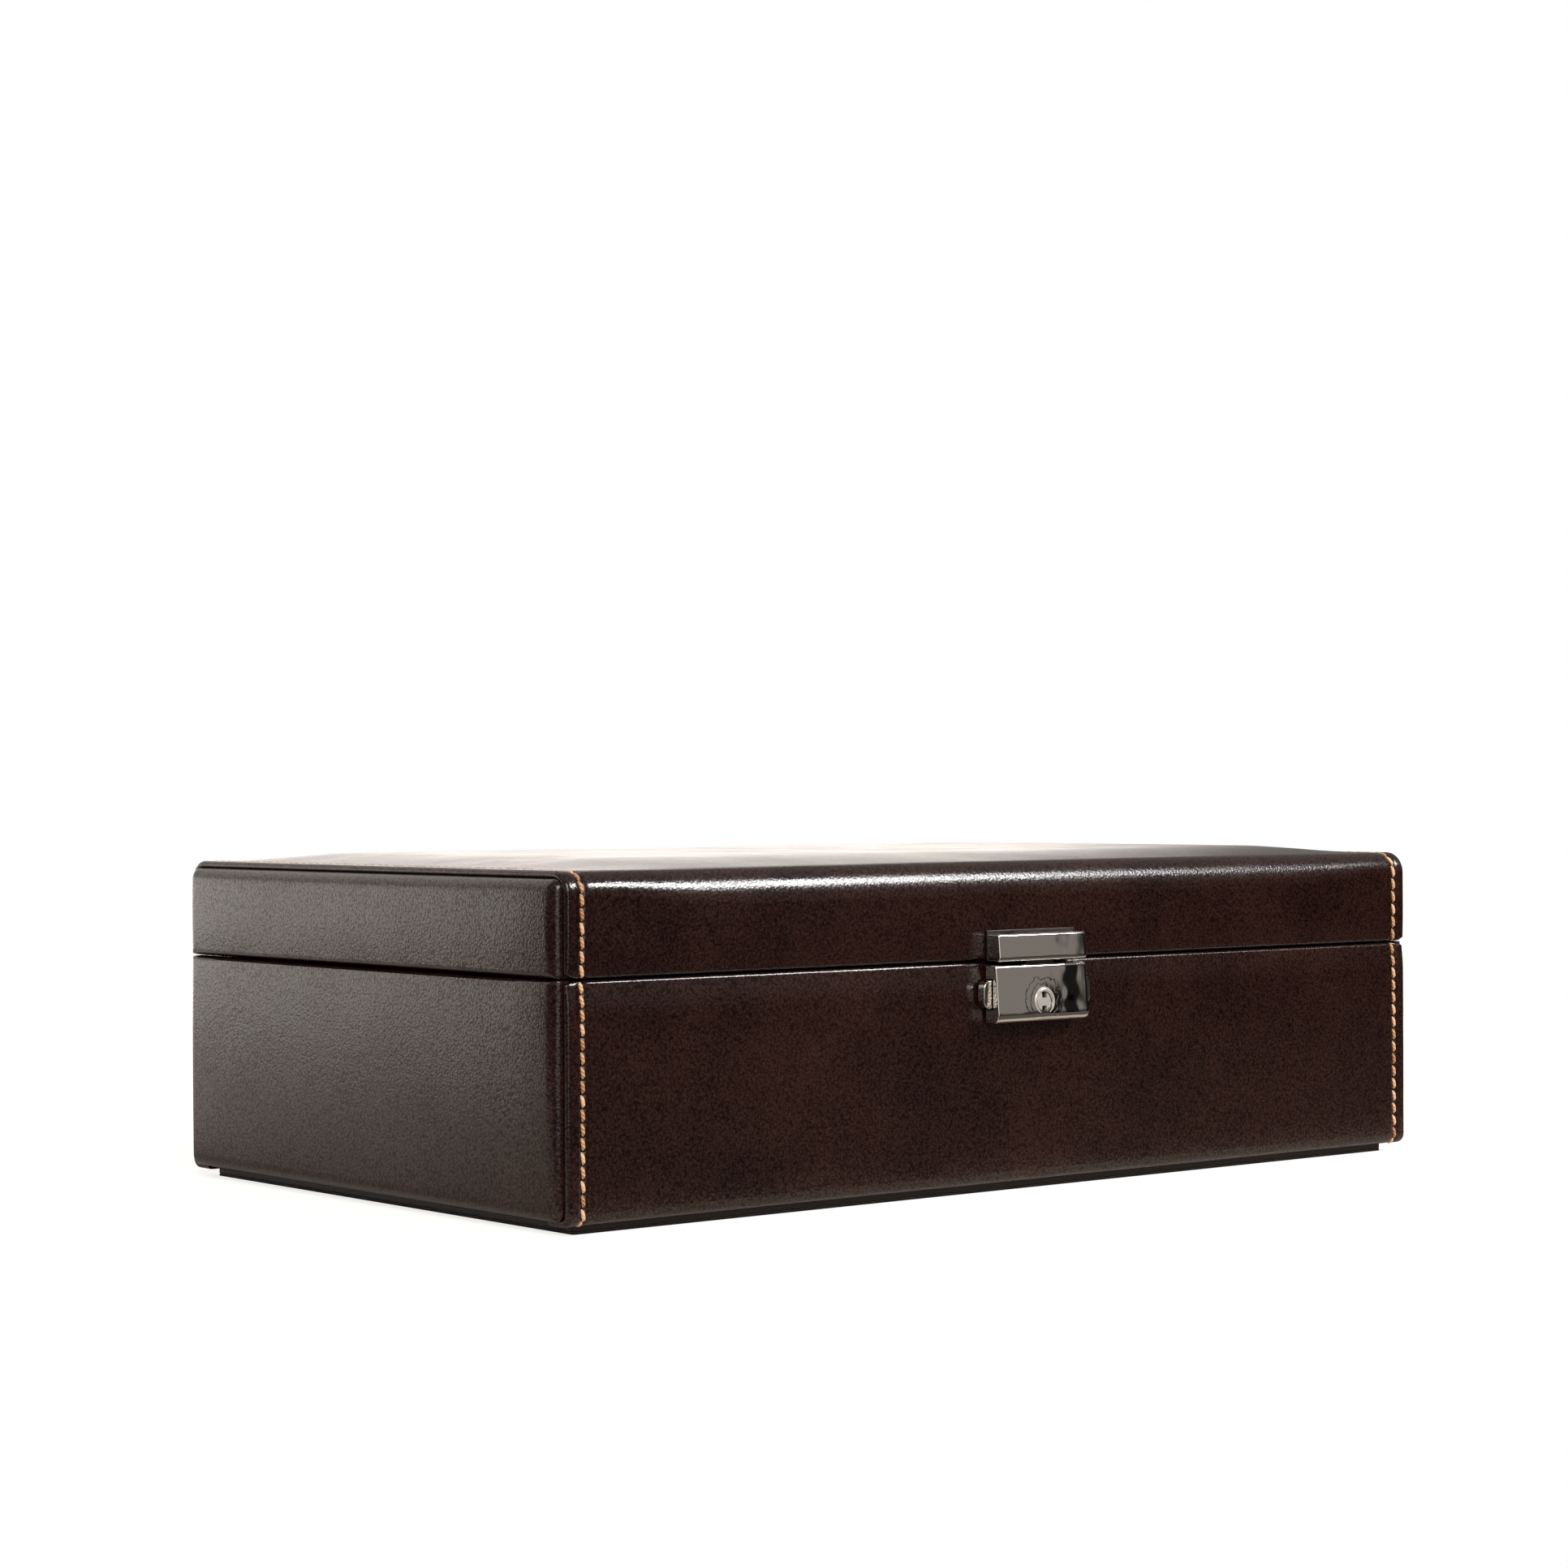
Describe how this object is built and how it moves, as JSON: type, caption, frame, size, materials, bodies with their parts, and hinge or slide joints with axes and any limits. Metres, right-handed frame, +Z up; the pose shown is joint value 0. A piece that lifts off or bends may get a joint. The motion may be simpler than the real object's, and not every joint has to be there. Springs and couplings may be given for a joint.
{
  "type": "pocket watch display box",
  "caption": "Leatherette display box with a padded hinged lid, push tab case lock and keyhole, and velvet pads with wells for pocket watches.",
  "frame": {"origin": "middle of the resting face, under the felt of the plinth", "axes": "+X to the right along the long side, +Y from the lock side to the hinge side, +Z up"},
  "size_m": [0.304, 0.1877, 0.0892],
  "materials": {
    "leather": "smooth dark brown leatherette, semi gloss",
    "velvet": "short pile velvet",
    "velvet_pad": "short pile velvet over foam",
    "board": "raw fibreboard",
    "plinth": "board covered in dark leatherette paper",
    "felt": "pressed felt",
    "foam": "open cell foam",
    "lock_metal": "polished nickel plate",
    "plate_metal": "nickel plated sheet steel",
    "hinge_metal": "nickel plated sheet steel",
    "screw_steel": "bright zinc plate",
    "thread": "tan sewing thread"
  },
  "bodies": {
    "base": {"base_wrap": "leather", "base_left_cover": "leather", "base_right_cover": "leather", "base_lining": "velvet", "long_divider": "velvet", "cross_divider_1": "velvet", "cross_divider_2": "velvet", "cross_divider_3": "velvet", "watch_pad_1": "velvet_pad", "watch_pad_2": "velvet_pad", "watch_pad_3": "velvet_pad", "watch_pad_4": "velvet_pad", "watch_pad_5": "velvet_pad", "watch_pad_6": "velvet_pad", "watch_pad_7": "velvet_pad", "watch_pad_8": "velvet_pad", "base_floor_board": "board", "base_front_board": "board", "base_rear_board": "board", "base_left_board": "board", "base_right_board": "board", "plinth_board": "plinth", "plinth_felt": "felt", "lock_case": "lock_metal", "lock_back_plate": "plate_metal", "hinge_base_leaf_left": "hinge_metal", "hinge_base_leaf_right": "hinge_metal", "hinge_pin_left": "hinge_metal", "hinge_pin_right": "hinge_metal", "lock_screws": "screw_steel", "hinge_base_screws": "screw_steel", "tab_spring_left": "screw_steel", "tab_spring_right": "screw_steel"},
    "lid": {"lid_top_board": "board", "lid_front_board": "board", "lid_rear_board": "board", "lid_left_board": "board", "lid_right_board": "board", "lid_foam": "foam", "lid_wrap": "leather", "lid_left_cover": "leather", "lid_right_cover": "leather", "lid_lining": "velvet", "lid_cushion": "velvet_pad", "strike_plate": "plate_metal", "strike_block": "lock_metal", "strike_tongue": "plate_metal", "strike_screws": "screw_steel", "hinge_lid_leaf_left": "hinge_metal", "hinge_lid_leaf_right": "hinge_metal", "hinge_lid_screws": "screw_steel"},
    "push_tab_left": {"push_tab_left": "lock_metal"},
    "push_tab_right": {"push_tab_right": "lock_metal"},
    "key_plug": {"key_plug": "lock_metal"}
  },
  "joints": [
    {"name": "lid_hinge", "type": "hinge", "parent": "base", "child": "lid", "pos_m": [0, 0.0908, 0.0612], "axis": [-1, 0, 0], "range_deg": [0, 100]},
    {"name": "push_tab_left_slide", "type": "slide", "parent": "base", "child": "push_tab_left", "axis": [1, 0, 0], "range_m": [0, 0.002], "stiffness_N_per_m": 400, "springref_m": -0.001, "deforming": ["tab_spring_left"]},
    {"name": "push_tab_right_slide", "type": "slide", "parent": "base", "child": "push_tab_right", "axis": [-1, 0, 0], "range_m": [0, 0.002], "stiffness_N_per_m": 400, "springref_m": -0.001, "deforming": ["tab_spring_right"]},
    {"name": "key_turn", "type": "hinge", "parent": "base", "child": "key_plug", "pos_m": [0, -0.0923, 0.0501], "axis": [0, 1, 0], "range_deg": [0, 90]}
  ]
}
